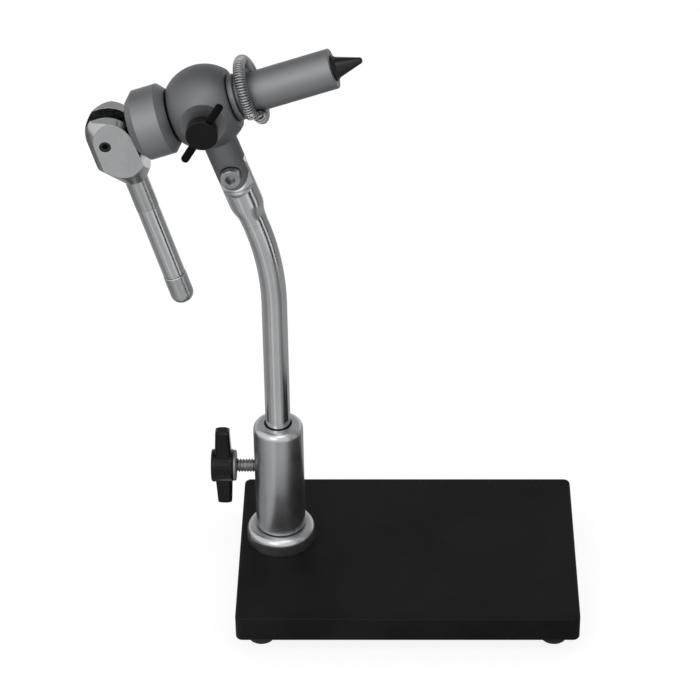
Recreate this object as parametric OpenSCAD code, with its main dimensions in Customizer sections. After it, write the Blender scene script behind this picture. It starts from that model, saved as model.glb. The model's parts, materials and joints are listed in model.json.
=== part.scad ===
// Fly tying vise on a pedestal base.
// Millimetres, +Z up. The origin is on the table, under the middle of the whole vise's plan.
// The post, the stem and the head share one upright plane, parallel to the base's long side.

/* [Base plate and feet] */
// Length of the base plate
plate_l = 152.4; // [130:0.1:200]
// Width of the base plate, front to back
plate_w = 101.6; // [80:0.1:150]
// Thickness of the base plate
plate_t = 12.7; // [12:0.1:20]
// Corner radius of the plate in plan
plate_corner_r = 3; // [2:0.1:12]
// Rounding of the plate's edges
plate_edge_r = 1.2; // [0.4:0.1:1.8]
// Diameter of each rubber foot
foot_d = 12.7; // [10:0.1:20]
// Height of each rubber foot
foot_h = 6.2; // [5:0.1:12]
// Distance from a foot's centre to the plate's edges
foot_inset = 11; // [10:0.5:25]
// Shank diameter of the foot screws
foot_screw_d = 3.5; // [2.5:0.1:4]

/* [Post] */
// Diameter of the post
post_d = 22.2; // [20:0.1:32]
// Height of the post above the plate
post_h = 64.2; // [55:0.1:90]
// Distance from the post's axis to the plate's left edge
post_inset = 18.6; // [17:0.1:40]
// Distance of the post's axis behind the plate's middle
post_back = 7.8; // [-20:0.1:20]
// Rounding of the post's top rim
post_top_round = 3.4; // [0.5:0.1:3.6]
// Diameter of the flange ring under the post
flange_d = 30.8; // [26:0.1:33]
// Height of the flange ring
flange_h = 8.1; // [5:0.1:10]
// Rounding of the flange ring's top rim
flange_round = 3.2; // [0.5:0.1:3.4]
// Diameter of the bolt that holds the post to the plate
bolt_d = 7.94; // [6:0.01:8]
// Thickness of the post between the bolt's hole and the stem's bore
post_floor_t = 1.8; // [1.5:0.1:8]
// Wall of the split liner between post and stem
liner_wall = 0.55; // [0.4:0.05:1]

/* [Post clamp] */
// Height of the clamp screw above the plate
clamp_z = 40.5; // [32:0.5:50]
// Diameter of the clamp screw's stud
clamp_stud_d = 6.35; // [5:0.01:7]
// Open length of stud between post and knob
clamp_stud_open = 8.1; // [6:0.1:14]
// Diameter of the clamp knob's hub
clamp_hub_d = 14.8; // [12:0.1:20]
// Length of the clamp knob's hub
clamp_hub_l = 10; // [8:0.1:16]
// Span of the clamp knob over both wings
clamp_span = 39.6; // [32:0.1:60]
// Width of a wing where it leaves the hub
wing_root_w = 8.1; // [6:0.1:9]
// Width of a wing at its tip
wing_tip_w = 6.3; // [4:0.1:8]

/* [Stem] */
// Diameter of the stem rod
stem_d = 11.11; // [9.5:0.01:12.7]
// Height above the plate at which the rod starts to bend
bend_z = 127.9; // [110:0.1:160]
// Radius of the rod's bend
bend_r = 127; // [90:1:160]
// Angle by which the head's axis rises and the stem's top leans
head_rise = 18.6; // [10:0.1:28]
// Straight rod between the bend and the fork
stem_straight = 2.1; // [1:0.1:10]
// Length of rod left below the liner's middle, from the post's bore floor
stem_lift = 6; // [5.6:0.1:9]

/* [Fork and neck] */
// Diameter of the fork and of the head's neck
neck_d = 14.4; // [13:0.1:18]
// Distance from the rod's end to the tilt screw
fork_l = 27.6; // [26.5:0.1:40]
// Distance from the ball's centre to the tilt screw
neck_l = 30.8; // [28:0.1:40]
// Distance of the lap faces in front of the neck's middle
lap_front = 2.4; // [0:0.1:3]
// Radius of the hollow ledge under the neck's round end
ledge_r = 11; // [9:0.1:12]
// Diameter of the tilt screw
tilt_screw_d = 5; // [4:0.1:6]
// Diameter of the tilt screw's head
tilt_head_d = 8.5; // [7:0.1:10]
// Height of the tilt screw's head
tilt_head_h = 5; // [3:0.1:6]

/* [Head] */
// Diameter of the head's ball
ball_d = 35.2; // [33:0.1:42]
// Distance from the ball's centre to its flat ends
ball_half_l = 12.4; // [11:0.1:12.6]
// Distance from the ball's centre to the flat for the lock screw
ball_flat = 14.9; // [13.5:0.1:16]
// Outer diameter of the two bearing bushes
bush_d = 20.8; // [19.5:0.1:23]
// Length of each bearing bush
bush_l = 8.4; // [6:0.1:9]

/* [Lock screw of the head] */
// Diameter of the lock screw
lock_stud_d = 4.8; // [4:0.1:6]
// Diameter of the lock knob's hub
lock_hub_d = 13.2; // [10:0.1:16]
// Length of the lock knob's hub
lock_hub_l = 5.1; // [4.4:0.1:8]
// Gap between the ball's flat and the hub
lock_gap = 4.3; // [2:0.1:7]
// Length of the cross bar, over its round ends
lock_bar_l = 31; // [20:0.5:40]
// Diameter of the cross bar
lock_bar_d = 3.4; // [2.5:0.1:4]
// Turn of the cross bar from the neck's direction
lock_bar_turn = -50; // [-180:1:180]

/* [Barrel and jaws] */
// Outer diameter of the barrel
barrel_d = 16.9; // [16:0.1:18.4]
// Distance from the ball's centre to the barrel's mouth
barrel_front = 56.1; // [50:0.1:80]
// Diameter of the barrel's thread inside the drum
barrel_thread_d = 15.8; // [14:0.1:15.9]
// Bore of the barrel round the jaws
barrel_bore_d = 9.8; // [9:0.1:10.4]
// Half angle of the barrel's mouth and of the jaws' cone
mouth_angle = 22; // [20:0.5:28]
// Length of the barrel's mouth cone
mouth_l = 1.2; // [0.8:0.1:2]
// Distance from the barrel's mouth to the jaws' tip
jaw_reach = 12.3; // [9:0.1:18]
// Half angle of the jaws' nose
nose_angle = 17.6; // [14:0.1:18]
// Length of a jaw behind the barrel's mouth
jaw_leg_l = 30; // [24:0.5:32]
// Outer diameter of the collar in front of the ball
collar_d = 19.6; // [18.6:0.1:21]
// Length of the collar
collar_l = 2.7; // [1.5:0.1:3]

/* [Material spring] */
// Wire diameter of the material spring
wire_d = 0.6; // [0.5:0.01:0.62]
// Outer diameter of the spring's coil
coil_d = 5; // [4.6:0.1:5.1]
// Radius of the ring that the spring is bent into
ring_r = 12.4; // [12.3:0.1:13.4]
// Distance by which the ring hangs off the barrel's axis, away from the neck
ring_lift = 1.35; // [0:0.05:1.4]
// Coils of the spring
coils = 66; // [40:1:68]
// Angle that the spring wraps, with its lap
wrap = 400; // [380:1:410]
// Step along the barrel over one turn of the ring
ring_step = 5.4; // [5.4:0.1:7]
// Distance from the ball's centre to the middle of the ring
ring_z = 20.9; // [20.8:0.1:24]

/* [Drum and drawbar] */
// Diameter of the adjusting drum
drum_d = 29.8; // [24:0.1:34]
// Distance from the ball's centre to the drum's front face
drum_front = 13.9; // [13.9:0.1:16]
// Length of the drum
drum_l = 17.3; // [15:0.1:22]
// Width of the drum's chamfers
drum_chamfer = 3.5; // [1:0.1:4]
// Diameter of the drawbar
drawbar_d = 6; // [5:0.1:6.4]
// Outer diameter of the cam washer
cam_washer_d = 19; // [16:0.1:20]

/* [Cam lever] */
// Distance from the lever's pin to the drum when the jaws are shut
cam_shut = 11.8; // [11:0.1:13]
// Travel of the drawbar as the lever opens
cam_stroke = 1.2; // [0.8:0.1:1.3]
// Angle through which the lever opens
lever_sweep = 90; // [70:5:95]
// Diameter of the cam head
cam_head_d = 26.6; // [24:0.1:30]
// Width of the cam head over its two side flats
cam_head_w = 19.2; // [17:0.1:22]
// Width of the cam head's slot
cam_slot_w = 8; // [7.6:0.1:8.6]
// Distance from the pin to the lever's axis
lever_offset = 4.8; // [3:0.1:6]
// Angle by which the lever leans back
lever_lean = 2.5; // [0:0.1:6]
// Diameter of the lever's rod
lever_d = 9.52; // [8:0.01:11]
// Distance from the pin down to the lever's tip
lever_l = 86.8; // [70:0.1:100]
// Length of the lever's tip piece
tip_l = 14.1; // [8:0.1:25]
// Diameter of the lever's tip piece
tip_d = 9.95; // [8.5:0.01:11.5]
// Diameter of the cam's pin
cam_pin_d = 4.8; // [4:0.1:5]

/* [Hidden] */
$fn = 72;
// Facets of circles inside hulls
hull_fn = 32;

// Radial clearance of turning and sliding fits
run_gap = 0.05;
// Clearance of fixed fits
fit_gap = 0.03;
// Clearance between faces that slide on each other
face_gap = 0.06;
// How far a cut runs past the face that it opens
over = 1;

// Radii of the parts that others are fitted to
post_r = post_d / 2;
stem_r = stem_d / 2;
neck_r = neck_d / 2;
ball_r = ball_d / 2;
barrel_r = barrel_d / 2;
thread_r = barrel_thread_d / 2;
drum_r = drum_d / 2;
drawbar_r = drawbar_d / 2;
lever_r = lever_d / 2;
pin_r = cam_pin_d / 2;
stud_r = clamp_stud_d / 2;
lock_r = lock_stud_d / 2;

// Liner and bore in the post
liner_in_r = stem_r + run_gap;
liner_out_r = liner_in_r + liner_wall;
post_bore_r = liner_out_r + run_gap;
liner_slit = 1.2;
liner_drop = 0.8;
post_foot_round = 0.8;

// Post bolt, in the spigot under the post
bolt_r = bolt_d / 2;
bolt_head_r_share = 0.8;
bolt_head_h_share = 0.95;
bolt_head_r = bolt_head_r_share * bolt_d;
bolt_head_h = bolt_head_h_share * bolt_d;
bolt_socket_share = 0.8;
bolt_socket_depth_share = 0.5;
bolt_recess = 0.5;
bolt_past_flange = 1.6;
bolt_runout = 0.8;
bolt_hold = flange_h + bolt_past_flange;
bolt_tap_l = bolt_hold + bolt_runout;
spigot_wall = 2.6;
spigot_r = bolt_r + spigot_wall;
post_bore_z = bolt_tap_l + post_floor_t;

// Feet and their screws
foot_draft = 0.5;
foot_head_d_share = 1.9;
foot_head_h_share = 0.6;
foot_hold_share = 0.6;
foot_screw_head_d = foot_head_d_share * foot_screw_d;
foot_screw_head_h = foot_head_h_share * foot_screw_d;
foot_screw_rise = 0.5;
foot_screw_hold = foot_hold_share * plate_t;
foot_recess_gap = 0.35;

// Clamp knob
pad_l = 2.2;
pad_slack = 0.12;
bushing_share = 0.47;
bushing_r = bushing_share * clamp_hub_d;
bushing_l = 1.2;
hub_round = 1.1;
wing_root_t = 7.4;
wing_tip_t = 5.8;
wing_round = 1.3;
wing_tip_drop = 0.9;
wing_shift = 0.5;
stud_in_hub_share = 0.7;

// Head frame: the ball's centre, above the post's axis by the stem's path
neck_run = neck_l + fork_l + stem_straight;
plate_top = foot_h + plate_t;
reach_x = bend_r * (1 - cos(head_rise)) + neck_run * sin(head_rise);
head_z = plate_top + bend_z + bend_r * sin(head_rise) + neck_run * cos(head_rise);

// The drum's rear face, the washer on it, and the lever's pin, along the head's axis
drum_rear = drum_front + drum_l;
washer_proud = 0.3;
washer_t = 1.8;
washer_rear = drum_rear + washer_proud;
pin_z = washer_rear + face_gap + cam_shut;
drum_wall = 3;
thread_to_wall = 1;
thread_end = drum_rear - drum_wall - thread_to_wall;

// Plan: the lowest and highest X of the whole vise, from the post's axis
cam_head_r = cam_head_d / 2;
dome_up = 0.6;
dome_x = reach_x + (pin_z - lever_offset) * cos(head_rise) - dome_up * sin(head_rise);
left_x = -(dome_x + cam_head_r);
right_x = plate_l - post_inset;
post_x = -(left_x + right_x) / 2;
post_y = post_back;
plate_x = post_x - post_inset + plate_l / 2;
head_x = post_x - reach_x;

// Fork and neck
socket_lip = 0.12;
fork_foot_r = stem_r + socket_lip;
fork_full_l = 17.2;
fork_taper_l = 8.6;
lap_gap = 0.06;
knuckle_gap = 0.3;
horn_share = 0.54;
horn_h = horn_share * neck_r;
spot_depth = 1.7;
stub_share = 0.6;
stub_r = stub_share * stem_r;
stub_l = 8;
screw_end = 0.8;
tilt_r = tilt_screw_d / 2;
tilt_socket_share = 0.8;
tilt_socket_depth_share = 0.55;
rim_round = 0.4;

// Bearings in the ball
bush_r = bush_d / 2;
lock_pad_l = 2.4;
lock_pad_slack = 0.25;
bar_round_share = 0.45;

// Barrel, jaws and what lies inside them
barrel_step = 3.8;
mouth_r = barrel_bore_d / 2 + mouth_l * tan(mouth_angle);
barrel_lip = 0.5;
collar_round = 0.8;
guide_gap = 0.12;
jaw_seat_gap = 0.04;
jaw_leg_gap = 0.55;
flexure_r_share = 0.82;
flexure_l = 5;
jaw_slit = 0.1;
leg_slit = 0.9;
grip_l = 14;
tip_r = 1.5;
hub_face_gap = 0.12;
collet_hub_l = 6;
collet_hub_wall = 1.4;
ring_t = 0.8;
ring_out_r = 10.9;

// Return spring between the barrel's step and the collet's hub
return_wire = 0.8;
return_coils = 9;
return_sides = 16;
wire_sides = 6;

// Cam head
cam_slot_back = 7;
cam_slot_floor = 5.8;
sleeve_l = 37.4;
sleeve_r = lever_r + socket_lip;
cone_angle = 36;
barrel_part_l = 11.5;
eye_r = 5.2;
eye_w = 6.4;
tongue_h = 6.8;
tongue_l = 9.4;
lever_stub_l = 9;
lever_stub_share = 0.62;
lever_stub_r = lever_stub_share * lever_r;
tip_stub_l = 6;
tip_stub_share = 0.5;
tip_stub_r = tip_stub_share * lever_r;
tip_round_share = 0.42;
groove = 0.5;
pin_recess = 0.5;
pin_blind = 1.2;

// Colours as they look on the vise
black_powder = "#1b1b1c";
black_plastic = "#121213";
rubber_black = "#222223";
polished_steel = "#c3c4c6";
bright_steel = "#d2d3d4";
blasted_aluminium = "#7c7d7f";
black_oxide = "#191919";
white_nylon = "#dddbd2";

// Frames

// The post's axis at the plate's top
module at_post() translate([post_x, post_y, plate_top]) children();
// The clamp screw: local Z runs out of the post, to the left, and local X runs up
module at_clamp() at_post() translate([0, 0, clamp_z]) rotate([0, -90, 0]) children();
// The ball's centre: local Z runs along the head's axis to the jaws, and local X down the neck
module at_head() translate([head_x, post_y, head_z]) rotate([0, 90 - head_rise, 0]) children();
// The neck: local Z runs down it from the ball's centre, and local X back
module at_neck() at_head() rotate([0, 90, 0]) children();
// The tilt screw: local Z runs out of the front of the neck
module at_tilt() at_neck() translate([0, 0, neck_l]) rotate([90, 0, 0]) children();
// The lock screw: local Z runs out of the ball's front
module at_lock() at_head() rotate([90, 0, 0]) children();
// The lever's pin: axes as the head's
module at_pin() at_head() translate([0, 0, -pin_z]) children();
// The lever's axis: local Z runs down the lever from the pin's height
module at_lever() at_pin() translate([0, 0, lever_offset]) rotate([0, 90 + lever_lean, 0]) children();
// Every foot's place on the table
module at_feet() for (sx = [-1, 1], sy = [-1, 1])
    translate([plate_x + sx * (plate_l / 2 - foot_inset), sy * (plate_w / 2 - foot_inset), 0]) children();

// Shapes that repeat

// A turned cylinder with its own rounding at each rim
module turned(r, h, foot_round, top_round) rotate_extrude() intersection() {
    union() {
        translate([0, foot_round]) square([r, h - foot_round - top_round]);
        square([r - foot_round, h / 2]);
        translate([0, h / 2]) square([r - top_round, h / 2]);
        if (foot_round > 0) translate([r - foot_round, foot_round]) circle(foot_round);
        if (top_round > 0) translate([r - top_round, h - top_round]) circle(top_round);
    }
    square([r, h]);
}
// A ring from one height to another
module ring(out_r, in_r, from, to) difference() {
    translate([0, 0, from]) cylinder(r = out_r, h = to - from);
    translate([0, 0, from - over]) cylinder(r = in_r, h = to - from + 2 * over);
}
// A rod from one height to another
module rod(r, from, to) translate([0, 0, from]) cylinder(r = r, h = to - from);
// A six-sided socket cut down from a height
module hex_socket(across, top, depth)
    translate([0, 0, top - depth]) cylinder(d = across / cos(30), h = depth + over, $fn = 6);

// Points of one cross-section of a wire, round its centre, from two directions across it
function wire_ring(c, u, w, r, sides) = [for (k = [0 : sides - 1])
    c + r * (cos(360 * k / sides) * u + sin(360 * k / sides) * w)];
function unit(v) = v / norm(v);
// A wire swept along centre points, each with a direction across the wire
module wire(centres, across, r, sides) {
    n = len(centres);
    along = [for (i = [0 : n - 1]) unit(centres[min(i + 1, n - 1)] - centres[max(i - 1, 0)])];
    w = [for (i = [0 : n - 1]) unit(cross(along[i], across[i]))];
    u = [for (i = [0 : n - 1]) cross(w[i], along[i])];
    points = [for (i = [0 : n - 1]) each wire_ring(centres[i], u[i], w[i], r, sides)];
    skin = [for (i = [0 : n - 2], k = [0 : sides - 1]) let (
        a = i * sides + k, b = i * sides + (k + 1) % sides) each [[a, a + sides, b], [b, a + sides, b + sides]]];
    caps = [for (k = [1 : sides - 2]) each [[0, k, k + 1],
        [(n - 1) * sides, (n - 1) * sides + k + 1, (n - 1) * sides + k]]];
    polyhedron(points = points, faces = concat(skin, caps), convexity = 10);
}
// The least gap between a wire's own turns, measured on its centre points
function least_gap(centres, r, first, last) = min([for (i = [0 : len(centres) - 1],
    j = [i + first : min(i + last, len(centres) - 1)]) norm(centres[i] - centres[j])]) - 2 * r;
function end_gap(centres, r, count) = min([for (i = [0 : count],
    j = [len(centres) - 1 - count : len(centres) - 1]) norm(centres[i] - centres[j])]) - 2 * r;

// Base

module base_plate() color(black_powder) difference() {
    translate([plate_x, 0, foot_h]) hull() for (sx = [-1, 1], sy = [-1, 1])
        translate([sx * (plate_l / 2 - plate_corner_r), sy * (plate_w / 2 - plate_corner_r), 0])
            turned(plate_corner_r, plate_t, plate_edge_r, plate_edge_r, $fn = hull_fn);
    at_post() {
        rod(bolt_r + 2 * run_gap, -plate_t - over, over);
        rod(bolt_head_r + 4 * run_gap, -plate_t - over, -plate_t + bolt_recess + bolt_head_h);
    }
    at_feet() rod(foot_screw_d / 2 + fit_gap, foot_h - over, foot_h + foot_screw_hold + foot_recess_gap);
}
module rubber_feet() color(rubber_black) at_feet() difference() {
    cylinder(d1 = foot_d - 2 * foot_draft, d2 = foot_d, h = foot_h);
    rod(foot_screw_d / 2 + fit_gap, -over, foot_h + over);
    rod(foot_screw_head_d / 2 + foot_recess_gap, -over, foot_screw_rise + foot_screw_head_h);
}
module foot_screws() color(bright_steel) at_feet() {
    rod(foot_screw_head_d / 2, foot_screw_rise, foot_screw_rise + foot_screw_head_h);
    rod(foot_screw_d / 2, foot_screw_rise + foot_screw_head_h, foot_h + foot_screw_hold);
}

// Post

module post_flange() color(polished_steel) at_post() difference() {
    turned(flange_d / 2, flange_h, fit_gap, flange_round);
    rod(spigot_r + fit_gap, -over, flange_h + over);
}
module post() color(polished_steel) difference() {
    at_post() {
        translate([0, 0, flange_h]) turned(post_r, post_h - flange_h, post_foot_round, post_top_round);
        rod(spigot_r, 0, flange_h + post_foot_round);
    }
    at_post() {
        rod(post_bore_r, post_bore_z, post_h + over);
        rod(bolt_r + fit_gap, -over, bolt_tap_l);
    }
    at_clamp() rod(stud_r + run_gap, 0, post_r + over);
}
module post_bolt() color(bright_steel) at_post() difference() {
    union() {
        rod(bolt_r, -plate_t + bolt_recess, bolt_hold);
        rod(bolt_head_r, -plate_t + bolt_recess, -plate_t + bolt_recess + bolt_head_h);
    }
    mirror([0, 0, 1]) hex_socket(bolt_socket_share * bolt_d, plate_t - bolt_recess, bolt_socket_depth_share * bolt_d);
}

// Clamp screw of the post

pad_z = liner_out_r + pad_slack;
stud_z = pad_z + pad_l + face_gap;
bushing_z = post_r + clamp_stud_open;
hub_z = bushing_z + bushing_l;
stud_top = hub_z + stud_in_hub_share * clamp_hub_l;

module clamp_pad() color(white_nylon) at_clamp() rod(stud_r, pad_z, pad_z + pad_l);
module clamp_stud() color(bright_steel) at_clamp() rod(stud_r, stud_z, stud_top);
module clamp_bushing() color(polished_steel) at_clamp() difference() {
    translate([0, 0, bushing_z]) turned(bushing_r, bushing_l, hub_round / 2, 0);
    rod(stud_r + fit_gap, bushing_z - over, hub_z + over);
}
// One slice of a wing, across the hub's axis, at a height above that axis
module wing_slice(x, w, t) translate([x, 0, hub_z + clamp_hub_l / 2 - wing_shift]) rotate([0, 90, 0])
    linear_extrude(fit_gap) hull() for (sw = [-1, 1], st = [-1, 1])
        translate([sw * (w / 2 - wing_round), st * (t / 2 - wing_round)]) circle(wing_round, $fn = hull_fn / 2);
module wing() hull() {
    wing_slice(0, wing_root_w, wing_root_t);
    wing_slice(clamp_span / 2 - wing_tip_drop, wing_tip_w, wing_tip_t);
    wing_slice(clamp_span / 2 - fit_gap, wing_tip_w - 2 * wing_tip_drop, wing_tip_t - 2 * wing_tip_drop);
}
module clamp_knob() color(black_plastic) at_clamp() difference() {
    union() {
        translate([0, 0, hub_z]) turned(clamp_hub_d / 2, clamp_hub_l, hub_round, hub_round, $fn = hull_fn);
        for (turn = [0, 180]) rotate([0, 0, turn]) wing();
    }
    rod(stud_r + fit_gap, hub_z - over, stud_top + fit_gap);
}

// Stem

module stem_liner() color(black_plastic) at_post() difference() {
    ring(liner_out_r, liner_in_r, post_bore_z + liner_drop, post_h - liner_drop);
    translate([0, -liner_slit / 2, post_bore_z]) cube([liner_out_r + over, liner_slit, post_h]);
}
module stem_rod() color(polished_steel) {
    at_post() {
        rod(stem_r, post_bore_z + stem_lift, bend_z);
        translate([-bend_r, 0, bend_z]) rotate([90, 0, 0]) rotate_extrude(angle = head_rise)
            translate([bend_r, 0]) circle(stem_r);
    }
    at_neck() {
        rod(stem_r - fit_gap, neck_l + fork_l, neck_run + over);
        rod(stub_r, neck_l + fork_l - stub_l, neck_l + fork_l);
    }
}
// Outline of the fork below the tilt screw: full, then a smooth waist down to the rod
fork_steps = 12;
fork_outline = concat(
    [[0, -neck_r], [neck_r, -neck_r]],
    [for (i = [0 : fork_steps]) [
        fork_foot_r + (neck_r - fork_foot_r) * (1 + cos(180 * i / fork_steps)) / 2,
        fork_full_l + fork_taper_l * i / fork_steps]],
    [[fork_foot_r, fork_l], [0, fork_l]]);
module stem_fork() color(polished_steel) at_neck() difference() {
    intersection() {
        translate([0, 0, neck_l]) rotate_extrude() polygon(fork_outline);
        union() {
            translate([0, neck_r + over, neck_l]) rotate([90, 0, 0]) cylinder(r = neck_r, h = neck_d + 2 * over);
            translate([-neck_d, -neck_d, neck_l]) cube([2 * neck_d, 2 * neck_d, fork_l + over]);
        }
    }
    // The front half is cut away down to the hollow ledge, for the neck's round end
    translate([0, -lap_front + lap_gap, neck_l]) {
        rotate([90, 0, 0]) cylinder(r = ledge_r, h = neck_d);
        translate([-neck_d, -neck_d, -neck_d]) cube([2 * neck_d, neck_d, neck_d]);
    }
    rod(stub_r + fit_gap, neck_l + fork_l - stub_l - fit_gap, neck_l + fork_l + over);
    translate([0, neck_r + over, neck_l]) rotate([90, 0, 0]) cylinder(r = tilt_r + fit_gap, h = neck_d + 2 * over);
}
module tilt_screw() color(bright_steel) at_tilt() difference() {
    union() {
        rod(tilt_r, -neck_r + screw_end, neck_r - spot_depth);
        translate([0, 0, neck_r - spot_depth]) turned(tilt_head_d / 2, tilt_head_h, 0, rim_round);
    }
    hex_socket(tilt_socket_share * tilt_screw_d, neck_r - spot_depth + tilt_head_h, tilt_socket_depth_share * tilt_head_h);
}

// Head

// The neck, with its round end round the tilt screw
module neck() intersection() {
    rod(neck_r, 0, neck_l + neck_r);
    union() {
        translate([0, neck_r + over, neck_l]) rotate([90, 0, 0]) cylinder(r = neck_r, h = neck_d + 2 * over);
        translate([-neck_d, -neck_d, 0]) cube([2 * neck_d, 2 * neck_d, neck_l]);
    }
}
module head_body() color(blasted_aluminium) difference() {
    union() {
        at_head() intersection() {
            sphere(r = ball_r);
            translate([-ball_d, -ball_flat, -ball_half_l]) cube([2 * ball_d, ball_d + ball_flat, 2 * ball_half_l]);
        }
        at_neck() neck();
    }
    at_head() rod(bush_r, -ball_half_l - over, ball_half_l + over);
    at_lock() rod(lock_r + run_gap, 0, ball_r + over);
    // The back half of the neck is cut away round the fork's knuckle
    at_neck() translate([0, neck_d - lap_front, neck_l]) {
        rotate([90, 0, 0]) cylinder(r = neck_r + knuckle_gap, h = neck_d);
        translate([-neck_d, -neck_d, -horn_h]) cube([2 * neck_d, neck_d, neck_d + horn_h]);
    }
    at_tilt() {
        rod(tilt_r + run_gap, 0, neck_r + over);
        rod(tilt_head_d / 2 + 5 * run_gap, neck_r - spot_depth, neck_r + over);
    }
}
module bush() difference() {
    ring(bush_r - fit_gap, barrel_r + run_gap, ball_half_l - bush_l, ball_half_l);
}
module rear_bush() color(black_plastic) at_head() mirror([0, 0, 1]) bush();
module front_bush() color(black_plastic) at_head() bush();

// Lock screw of the head

lock_pad_z = barrel_r + lock_pad_slack;
lock_stud_z = lock_pad_z + lock_pad_l + face_gap;
lock_hub_z = ball_flat + lock_gap;
lock_bar_z = lock_hub_z + lock_hub_l / 2;

module lock_pad() color(white_nylon) at_lock() rod(lock_r, lock_pad_z, lock_pad_z + lock_pad_l);
module lock_stud() color(black_oxide) at_lock() rod(lock_r, lock_stud_z, lock_hub_z + lock_hub_l / 2 - lock_bar_d / 2 - fit_gap);
module lock_hub() color(black_plastic) at_lock() difference() {
    translate([0, 0, lock_hub_z]) turned(lock_hub_d / 2, lock_hub_l, rim_round, rim_round);
    rod(lock_r + fit_gap, lock_hub_z - over, lock_bar_z);
    translate([0, 0, lock_bar_z]) rotate([0, 0, lock_bar_turn]) rotate([0, 90, 0])
        translate([0, 0, -lock_hub_d]) cylinder(d = lock_bar_d + 2 * fit_gap, h = 2 * lock_hub_d);
}
module lock_bar() color(black_plastic) at_lock() translate([0, 0, lock_bar_z]) rotate([0, 0, lock_bar_turn])
    rotate([0, 90, 0]) translate([0, 0, -lock_bar_l / 2])
        turned(lock_bar_d / 2, lock_bar_l, bar_round_share * lock_bar_d, bar_round_share * lock_bar_d);

// Barrel

module barrel() color(blasted_aluminium) at_head() difference() {
    union() {
        rod(thread_r, -thread_end, -ball_half_l);
        translate([0, 0, -ball_half_l]) turned(barrel_r, ball_half_l + barrel_front, 0, barrel_lip);
    }
    rod(drawbar_r + guide_gap, -thread_end - over, barrel_step + over);
    rod(barrel_bore_d / 2, barrel_step, barrel_front - mouth_l);
    translate([0, 0, barrel_front - mouth_l]) cylinder(r1 = barrel_bore_d / 2, r2 = mouth_r, h = mouth_l);
    rod(mouth_r, barrel_front, barrel_front + over);
}
module front_collar() color(blasted_aluminium) at_head() difference() {
    translate([0, 0, ball_half_l + face_gap]) turned(collar_d / 2, collar_l, rim_round, collar_round);
    rod(barrel_r + fit_gap, 0, ball_half_l + collar_l + over);
}
module retaining_ring() color(black_oxide) at_head()
    ring(ring_out_r, thread_r + fit_gap, -ball_half_l - face_gap - ring_t, -ball_half_l - face_gap);

// The ring-shaped spring that holds thread and materials
coil_r = coil_d / 2 - wire_d / 2;
coil_steps = 8;
ring_turn = function (i) wrap * (i / (coils * coil_steps) - 1 / 2);
ring_out = function (a) [-cos(a), -sin(a), 0];
ring_mid = function (a) ring_r * ring_out(a) + [-ring_lift, 0, ring_z - ring_step * a / 360];
coil_across = function (i) cos(360 * i / coil_steps) * ring_out(ring_turn(i)) + [0, 0, sin(360 * i / coil_steps)];
coil_point = function (i) ring_mid(ring_turn(i)) + coil_r * coil_across(i);
coil_count = coils * coil_steps;
coil_body = [for (i = [0 : coil_count]) coil_point(i)];
coil_tail = function (a, b) a + wire_d * unit(a - b);
module material_spring() {
    path = concat([coil_tail(coil_body[0], coil_body[1])], coil_body,
        [coil_tail(coil_body[coil_count], coil_body[coil_count - 1])]);
    side = concat([coil_across(0)], [for (i = [0 : coil_count]) coil_across(i)], [coil_across(coil_count)]);
    echo("least gap of the material spring",
        min(least_gap(path, wire_d / 2, coil_steps - 2, coil_steps + 2), end_gap(path, wire_d / 2, coil_steps * coil_steps)));
    color(bright_steel) at_head() wire(path, side, wire_d / 2, wire_sides);
}

// Drum, washer and drawbar

module cam_washer() color(bright_steel) at_head()
    ring(cam_washer_d / 2, drawbar_r + guide_gap, -washer_rear, -washer_rear + washer_t);
module adjusting_drum() color(blasted_aluminium) at_head() difference() {
    translate([0, 0, -drum_rear]) rotate_extrude() polygon([
        [0, 0], [drum_r - drum_chamfer, 0], [drum_r, drum_chamfer],
        [drum_r, drum_l - drum_chamfer], [drum_r - drum_chamfer, drum_l], [0, drum_l]]);
    rod(thread_r + run_gap, -drum_rear + drum_wall, 0);
    rod(drawbar_r + 2 * guide_gap, -drum_rear - over, 0);
    rod(cam_washer_d / 2 + run_gap, -drum_rear - over, -washer_rear + washer_t + face_gap);
}
collet_front = barrel_front - jaw_leg_l - hub_face_gap;
module drawbar() color(black_oxide) {
    at_pin() difference() {
        union() {
            translate([0, eye_w / 2, 0]) rotate([90, 0, 0]) cylinder(r = eye_r, h = eye_w);
            translate([-tongue_h / 2, -eye_w / 2, 0]) cube([tongue_h, eye_w, tongue_l]);
        }
        translate([0, eye_w, 0]) rotate([90, 0, 0]) cylinder(r = pin_r + run_gap, h = 2 * eye_w);
    }
    at_head() rod(drawbar_r, -pin_z + tongue_l, collet_front - collet_hub_wall - fit_gap);
}
module collet_hub() color(black_oxide) at_head() difference() {
    rod(barrel_bore_d / 2 - guide_gap, collet_front - collet_hub_l, collet_front);
    rod(drawbar_r + fit_gap, 0, collet_front - collet_hub_wall);
}
// The spring that pushes the collet out of the barrel's mouth
return_from = barrel_step + return_wire;
return_to = collet_front - collet_hub_l - return_wire;
return_r = (drawbar_r + guide_gap + barrel_bore_d / 2) / 2;
module return_spring() {
    steps = return_sides * return_coils;
    across = [for (i = [0 : steps]) [cos(360 * i / return_sides), sin(360 * i / return_sides), 0]];
    path = [for (i = [0 : steps]) return_r * across[i] + [0, 0, return_from + (return_to - return_from) * i / steps]];
    echo("least gap of the return spring", least_gap(path, return_wire / 2, return_sides - 2, return_sides + 2));
    color(bright_steel) at_head() wire(path, across, return_wire / 2, wire_sides);
}

// Jaws

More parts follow.
